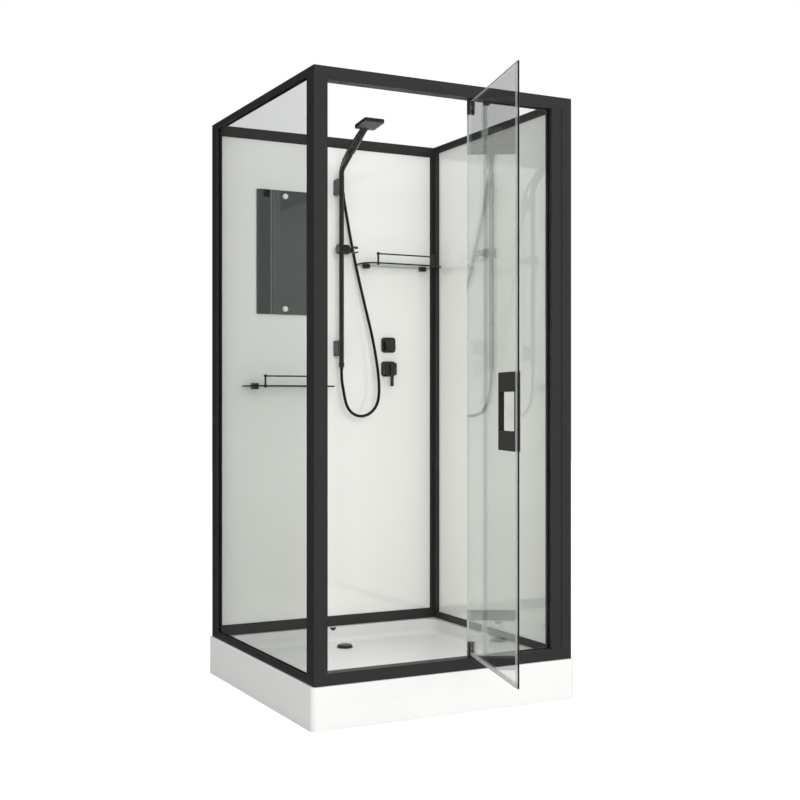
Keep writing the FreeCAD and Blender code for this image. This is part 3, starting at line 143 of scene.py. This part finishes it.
# Three soft boxes far away, so that the front and the inside of the cabin get nearly the same light. Each
# has its place, what it is aimed at, and its power in watts.
LAMP_SIZE = 3.6
for name, place, aim, power in (
        ("lamp_right", (4.9, -8.2, 3.6), (0.0, 0.0, 1.2), 180.0),
        ("lamp_front", (-2.2, -10.6, 3.2), (0.0, 0.2, 1.1), 420.0),
        ("lamp_top", (0.1, -0.1, 12.0), (0.0, 0.0, 0.0), 500.0)):
    lamp_data = bpy.data.lights.new(name, "AREA")
    lamp_data.size = LAMP_SIZE
    lamp_data.energy = power
    lamp = bpy.data.objects.new(name, lamp_data)
    lamp.location = place
    lamp.rotation_euler = (Vector(aim) - Vector(place)).to_track_quat("-Z", "Y").to_euler()
    lamp.visible_camera = False
    lamp.visible_glossy = False
    bpy.context.scene.collection.objects.link(lamp)


# Shower hose
# A flexible hose of black polymer with a fine spiral, screwed to the nut on the hand shower's tail and to
# the nut below the bar. It hangs free between the two, in one long loop.
def dress(material, *names):
    """Gives CAD nodes a material."""
    for name in names:
        for place in nodes[name].material_slots:
            place.material = material


def principled(name, colour, roughness, **inputs):
    """A material of one Principled shader; returns the material, its tree and the shader."""
    material, tree = new_material(name)
    values = {"Base Color": linear(colour), "Roughness": roughness}
    values.update({key.replace("_", " "): value for key, value in inputs.items()})
    shader = add(tree, "BsdfPrincipled", values)
    add(tree, "OutputMaterial", {"Surface": shader.outputs[0]})
    return material, tree, shader


def emboss(tree, shader, pattern, strength, depth):
    """Raises a pattern from the surface; the depth is in mm."""
    relief = add(tree, "Bump", {"Height": pattern, "Strength": strength, "Distance": depth * MM})
    tree.links.new(relief.outputs[0], shader.inputs["Normal"])


MM = 0.001
HOSE_R = 6
HOSE_PITCH = 4.5            # one turn of the spiral; the real one is finer than the picture can show
WAVE_REPEAT = math.tau / 20     # length in which a wave texture of scale 1 repeats
BAR_X, BAR_Y = 24, 420
HOSE_START, HOSE_END = (29, 425.3, 1981.45), (BAR_X, BAR_Y, 1162)
# Turning points in mm: X and Y from the bar's axis, Z from the floor.
HOSE_ROUTE = [
    (5, 13, 1977.43), (7, 21.5, 1970.5), (10, 28, 1960), (15, 32, 1945), (18, 34.5, 1922),
    (21.5, 35.5, 1887), (28, 35, 1841), (40, 34, 1776), (54, 32, 1697), (72, 28, 1604),
    (93, 22, 1506), (116, 17, 1409), (138, 11, 1317), (154, 7, 1233), (163, 3, 1164),
    (167, 0, 1109), (165, -3, 1064), (156, -5, 1029), (137, -6, 1003), (111, -8, 986.5),
    (85, -9, 981), (62, -9, 984), (42, -9, 994), (26.7, -8.5, 1009.8), (17, -7.5, 1030),
    (10.5, -6, 1057), (5.5, -4, 1091), (0, 0, 1128),
]
hose_curve = bpy.data.curves.new("hose", "CURVE")
hose_curve.dimensions = "3D"
hose_curve.bevel_depth = HOSE_R * MM
hose_curve.bevel_resolution = 5
hose_curve.resolution_u = 8
hose_curve.use_fill_caps = True
spline = hose_curve.splines.new("NURBS")
route = [HOSE_START] + [(BAR_X + x, BAR_Y + y, z) for x, y, z in HOSE_ROUTE] + [HOSE_END]
spline.points.add(len(route) - 1)
for point, place in zip(spline.points, route):
    point.co = [v * MM for v in place] + [1.0]
spline.order_u = 3
spline.use_endpoint_u = True
hose = bpy.data.objects.new("hose", hose_curve)
bpy.context.scene.collection.objects.link(hose)

# Smooth PVC that shines along its length, broken by the ridges of the spiral.
hose_black, tree, shader = principled("hose_black_pvc", "141412", 0.32)
place = add(tree, "TexCoord")
spiral = add(tree, "TexWave", {"Vector": place.outputs["Object"], "Scale": WAVE_REPEAT / (HOSE_PITCH * MM),
                               "Distortion": 0.0}, bands_direction="DIAGONAL")
emboss(tree, shader, spiral.outputs["Fac"], strength=0.5, depth=0.6)
hose_curve.materials.append(hose_black)
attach(hose, "cabin")
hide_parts("shower_hose")


# Tray
# Cast acrylic sheet, white, drawn into a basin with a deep skirt and backed with glass fibre. Its floor has
# a fine pebbled grip, the rest is glossy.
def cells(size):
    """The texture scale at which one cell of a pattern is as large as a size in mm."""
    return 1 / (size * MM)


def vary_roughness(tree, shader, pattern, low, high):
    """Lets the roughness follow a pattern's socket between two values."""
    span = add(tree, "MapRange", {0: pattern, "To Min": low, "To Max": high})
    tree.links.new(span.outputs[0], shader.inputs["Roughness"])


GRIP_GRAIN = 4.5            # size of a pebble in mm
FLOOR_LEVEL = 81.5          # just over the basin's floor
acrylic, tree, shader = principled("cast_acrylic_white", "e1e1df", 0.22, IOR=1.49)
place = add(tree, "TexCoord")
height = add(tree, "SeparateXYZ", {0: place.outputs["Object"]})
on_floor = add(tree, "Math", {0: height.outputs["Z"], 1: FLOOR_LEVEL * MM}, operation="LESS_THAN")
pebbles = add(tree, "TexVoronoi", {"Vector": place.outputs["Object"], "Scale": cells(GRIP_GRAIN)},
              feature="SMOOTH_F1")
grip = add(tree, "Math", {0: pebbles.outputs["Distance"], 1: on_floor.outputs[0]}, operation="MULTIPLY")
emboss(tree, shader, grip.outputs[0], strength=0.55, depth=0.8)
vary_roughness(tree, shader, on_floor.outputs[0], 0.22, 0.3)
dress(acrylic, "tray")


# Support, feet and waste
# Chipboard under the basin, zinc plated steel tubes and foot screws, moulded black pads, and a grey
# polypropylene trap with its stainless flange.
def tint_between(tree, shader, pattern, dark, light):
    """Lets the colour follow a pattern's socket between two tones."""
    # inputs 6 and 7 and output 2 are the colour sockets of a mix
    tone = add(tree, "Mix", {0: pattern, 6: linear(dark), 7: linear(light)}, data_type="RGBA")
    tree.links.new(tone.outputs[2], shader.inputs["Base Color"])


def cloud(tree, size, detail=2.0):
    """The socket of a soft uneven pattern whose cells have a size in mm."""
    place = add(tree, "TexCoord")
    noise = add(tree, "TexNoise", {"Vector": place.outputs["Object"], "Scale": cells(size),
                                   "Detail": detail})
    return noise.outputs["Fac"]


# Pressed chips of light and dark wood.
chipboard, tree, shader = principled("chipboard_raw", "a98d66", 0.75)
place = add(tree, "TexCoord")
chips = add(tree, "TexVoronoi", {"Vector": place.outputs["Object"], "Scale": cells(7)})
tint_between(tree, shader, chips.outputs["Color"], "8f744e", "c2a67c")
dress(chipboard, "base_board")

# A coat of zinc with its dull and bright spangles.
zinc, tree, shader = principled("steel_zinc_plated", "a9acb0", 0.38, Metallic=1.0)
place = add(tree, "TexCoord")
spangle = add(tree, "TexVoronoi", {"Vector": place.outputs["Object"], "Scale": cells(12)})
vary_roughness(tree, shader, spangle.outputs["Distance"], 0.3, 0.46)
dress(zinc, "support_runners", "support_crossbars", "foot_screws")

# Nylon from an eroded mould: dull and slightly grainy.
pad_black, tree, shader = principled("polyamide_moulded_black", "1b1b1b", 0.55)
emboss(tree, shader, cloud(tree, 1.2), strength=0.3, depth=0.2)
dress(pad_black, "foot_pads", "pivot_bushes")

# Moulded pipe ware with faint flow marks.
trap_grey, tree, shader = principled("polypropylene_grey", "7d8082", 0.45)
tint_between(tree, shader, cloud(tree, 20), "767a7c", "878a8c")
dress(trap_grey, "waste_trap")

# Steel brushed along its length, so the shine is drawn out into hair lines.
HAIR_STRETCH = 12.0         # how many times longer than wide a hair line is
stainless, tree, shader = principled("stainless_steel_brushed", "b9bbbc", 0.28, Metallic=1.0)
place = add(tree, "TexCoord")
longer = add(tree, "Mapping", {"Vector": place.outputs["Object"],
                               "Scale": (1.0, HAIR_STRETCH, HAIR_STRETCH)})
hairs = add(tree, "TexNoise", {"Vector": longer.outputs[0], "Scale": cells(8), "Detail": 4.0})
vary_roughness(tree, shader, hairs.outputs["Fac"], 0.2, 0.4)
dress(stainless, "waste_flange", "hinge_pins", "wall_screws", "lever_pin")

# Frame
# Extruded aluminium profiles, powder coated matt black: the coat has a very fine orange peel that breaks up
# reflections, so the faces look dark grey in the light. The coat rounds the sharp edges a little.
EDGE_ROUND = 1.5
SHARP_ANGLE = math.radians(40)      # edges that turn by more than this are rounded
powder_coat, tree, shader = principled("aluminium_powder_coat_black", "2f2f2f", 0.5)
emboss(tree, shader, cloud(tree, 1.8), strength=0.25, depth=0.2)
rounded = ("front_posts", "back_posts", "fixed_stile", "top_rails", "bottom_rails")
dress(powder_coat, *rounded, "rail_inserts")
for name in rounded:
    coat_edge = nodes[name].modifiers.new("edges", "BEVEL")
    coat_edge.width = EDGE_ROUND * MM
    coat_edge.segments = 2
    coat_edge.limit_method = "ANGLE"
    coat_edge.angle_limit = SHARP_ANGLE


# Clear panes
# Float glass, tempered and faintly grey. What shows is what lies behind, a little darker, with the mirror
# image of the room over it that grows at a flat angle. The cut edges are ground; the shelves' edges are
# painted near black, a painted dark reflection of the dim room around them.
GLASS_IOR = 1.52


def pane_glass(name, tint, facing, edge, bow=0.0):
    """Glass with a tint for each of its two faces, the pane's normal, and the colour of its ground edges;
    on the shelves that colour is near black, a painted dark reflection of the dim room.

    The bow is the angle in degrees by which a tempered pane that is not quite flat turns its mirror image.
    """
    material, tree = new_material(name)
    surface = add(tree, "NewGeometry")
    # the index is turned over on the far face, because the light goes straight through the pane
    index = add(tree, "MapRange", {0: surface.outputs["Backfacing"], "To Min": GLASS_IOR,
                                   "To Max": 1 / GLASS_IOR})
    share = add(tree, "Fresnel", {"IOR": index.outputs[0]})
    # lamp light and the room's soft light pass whole, because no mirrored light is traced for them
    path = add(tree, "LightPath")
    soft = add(tree, "Math", {0: path.outputs["Is Shadow Ray"], 1: path.outputs["Is Diffuse Ray"]},
               operation="MAXIMUM")
    share = add(tree, "MapRange", {0: soft.outputs[0], "To Min": share.outputs[0], "To Max": 0.0})
    through = add(tree, "BsdfTransparent", {"Color": linear(tint)})
    turned = add(tree, "VectorRotate", {"Vector": surface.outputs["Normal"], "Angle": math.radians(bow)},
                 rotation_type="Z_AXIS")
    mirrored = add(tree, "BsdfGlossy", {"Color": linear("fafcfb"), "Roughness": 0.0,
                                        "Normal": turned.outputs[0]})
    face = add(tree, "MixShader", {0: share.outputs[0], 1: through.outputs[0], 2: mirrored.outputs[0]})
    # the edges' colour; on the shelves it is painted near black, a painted dark reflection of the dim room
    ground = add(tree, "BsdfPrincipled", {"Base Color": linear(edge), "Roughness": 0.35})
    # the pane's own normal, which turns with it, tells its faces from its edges
    own = add(tree, "TexCoord")
    across = add(tree, "VectorMath", {0: own.outputs["Normal"], 1: facing}, operation="DOT_PRODUCT")
    level = add(tree, "Math", {0: across.outputs["Value"]}, operation="ABSOLUTE")
    is_edge = add(tree, "Math", {0: level.outputs[0], 1: 0.5}, operation="LESS_THAN")
    whole = add(tree, "MixShader", {0: is_edge.outputs[0], 1: face.outputs[0], 2: ground.outputs[0]})
    add(tree, "OutputMaterial", {"Surface": whole.outputs[0]})
    return material


OPEN_ANGLE = math.radians(75)
door_normal = (math.sin(OPEN_ANGLE), -math.cos(OPEN_ANGLE), 0)
dress(pane_glass("float_glass_clear_left", "fafbfa", (1, 0, 0), "7f8c87"), "left_glass")
dress(pane_glass("float_glass_clear_fixed", "fafbfa", (0, 1, 0), "7f8c87"), "fixed_glass")
dress(pane_glass("float_glass_clear_door", "f2f3f2", door_normal, "b4bab7", bow=-0.75), "door_glass")
# the shelves' edges are painted near black: a painted dark reflection of the dim room
dress(pane_glass("float_glass_clear_shelf", "e4e7e5", (0, 0, 1), "1c1f1e"), "shelf_panes")

# White walls
# Tempered glass with a white enamel fired on its back: even, slightly warm, and glossy, so the black
# fittings show in it softly.
enamel, tree, shader = principled("glass_enamelled_white", "f6f6f2", 0.02, IOR=GLASS_IOR, Coat_Weight=1.0,
                                  Coat_IOR=1.6, Coat_Roughness=0.0)
emboss(tree, shader, cloud(tree, 350, detail=1.0), strength=0.02, depth=2.0)
dress(enamel, "back_panel", "right_panel")

# Gaskets and seals
# Black EPDM in the grooves, clear soft PVC along the glass edges, and a black magnet strip on door and post.
# The rubber is dull and a little dusty.
epdm, tree, shader = principled("rubber_epdm_black", "161616", 0.7)
tint_between(tree, shader, cloud(tree, 3), "121212", "1f1f1e")
dress(epdm, "pane_gaskets", "post_magnet_strip", "door_magnet_strip", "waste_gasket")

# The soft strips are clear where they are seen straight on, and milky at their rims.
soft_pvc, tree = new_material("pvc_soft_clear")
haze = add(tree, "BsdfPrincipled", {"Base Color": linear("dfe1e1"), "Roughness": 0.3})
through = add(tree, "BsdfTransparent", {"Color": linear("f1f3f3")})
rim = add(tree, "LayerWeight", {"Blend": 0.2})
streaks = add(tree, "MapRange", {0: cloud(tree, 10), "To Min": 0.1, "To Max": 0.25})
cover = add(tree, "Math", {0: rim.outputs["Facing"], 1: streaks.outputs[0]}, operation="MAXIMUM")
strip = add(tree, "MixShader", {0: cover.outputs[0], 1: through.outputs[0], 2: haze.outputs[0]})
add(tree, "OutputMaterial", {"Surface": strip.outputs[0]})
dress(soft_pvc, "fixed_edge_seal", "door_edge_profile", "door_sweep")

# Door hardware and fittings
# Brass and zinc castings with a satin black electroplate: smoother than the powder coat, so they catch
# long highlights. The handle is two plates round a window cut in the glass, with a much duller coat.
satin_black, tree, shader = principled("brass_plated_satin_black", "2c2c29", 0.3)
cast = cloud(tree, 2.5, detail=3.0)
emboss(tree, shader, cast, strength=0.12, depth=0.2)
vary_roughness(tree, shader, cast, 0.26, 0.36)
dress(satin_black, "hinge_blocks", "shelf_clips", "gallery_rails", "slide_bar", "bar_brackets",
      "holder_arm", "hose_nuts", "slider_knob", "valve_plates", "mixer_block", "mixer_turner",
      "mixer_lever", "diverter_knob", "drain_cover", "overflow_cover")
matt_black, tree, shader = principled("zinc_coated_matt_black", "262626", 0.6, Specular_IOR_Level=0.25)
emboss(tree, shader, cloud(tree, 1.5), strength=0.2, depth=0.2)
dress(matt_black, "handle_outer", "handle_inner")

# Mirror
# Silvered float glass in front of the wall. The studio in front of it is dim, so it looks grey. The caps of
# its screws are satin white.
silver, tree, shader = principled("mirror_silvered_grey", "d9dcda", 0.02, Metallic=1.0)
emboss(tree, shader, cloud(tree, 200, detail=1.0), strength=0.03, depth=1.0)
dress(silver, "mirror")
cap_white, tree, shader = principled("aluminium_cap_satin_white", "e9eaea", 0.45)
emboss(tree, shader, cloud(tree, 2), strength=0.1, depth=0.1)
dress(cap_white, "mirror_caps")

# Hand shower and slider
# Moulded ABS, coated satin black with a slightly uneven sheen. The face is a dull dark grey plate with a
# field of grey rubber nozzles, and the ring round the handle is of the hose's PVC.
abs_black, tree, shader = principled("abs_satin_black", "262624", 0.26)
vary_roughness(tree, shader, cloud(tree, 15), 0.22, 0.32)
dress(abs_black, "hand_shower_body", "slider_body", "slider_fork")
face_grey, tree, shader = principled("abs_face_dark_grey", "4a4b48", 0.4)
emboss(tree, shader, cloud(tree, 2), strength=0.2, depth=0.2)
dress(face_grey, "shower_face")
silicone, tree, shader = principled("silicone_nozzle_grey", "77786f", 0.5)
tint_between(tree, shader, cloud(tree, 1), "6c6d66", "84857c")
dress(silicone, "shower_nozzles")
dress(hose_black, "hand_shower_ring")

# Water ways behind the wall
# Raw cast brass bodies with the two inlets, rough from the sand mould, and the pipe that feeds the hose
# through the lower bracket.
brass, tree, shader = principled("brass_cast_raw", "b18f4d", 0.4, Metallic=1.0)
emboss(tree, shader, cloud(tree, 2, detail=4.0), strength=0.4, depth=0.4)
dress(brass, "valve_bodies", "feed_line")
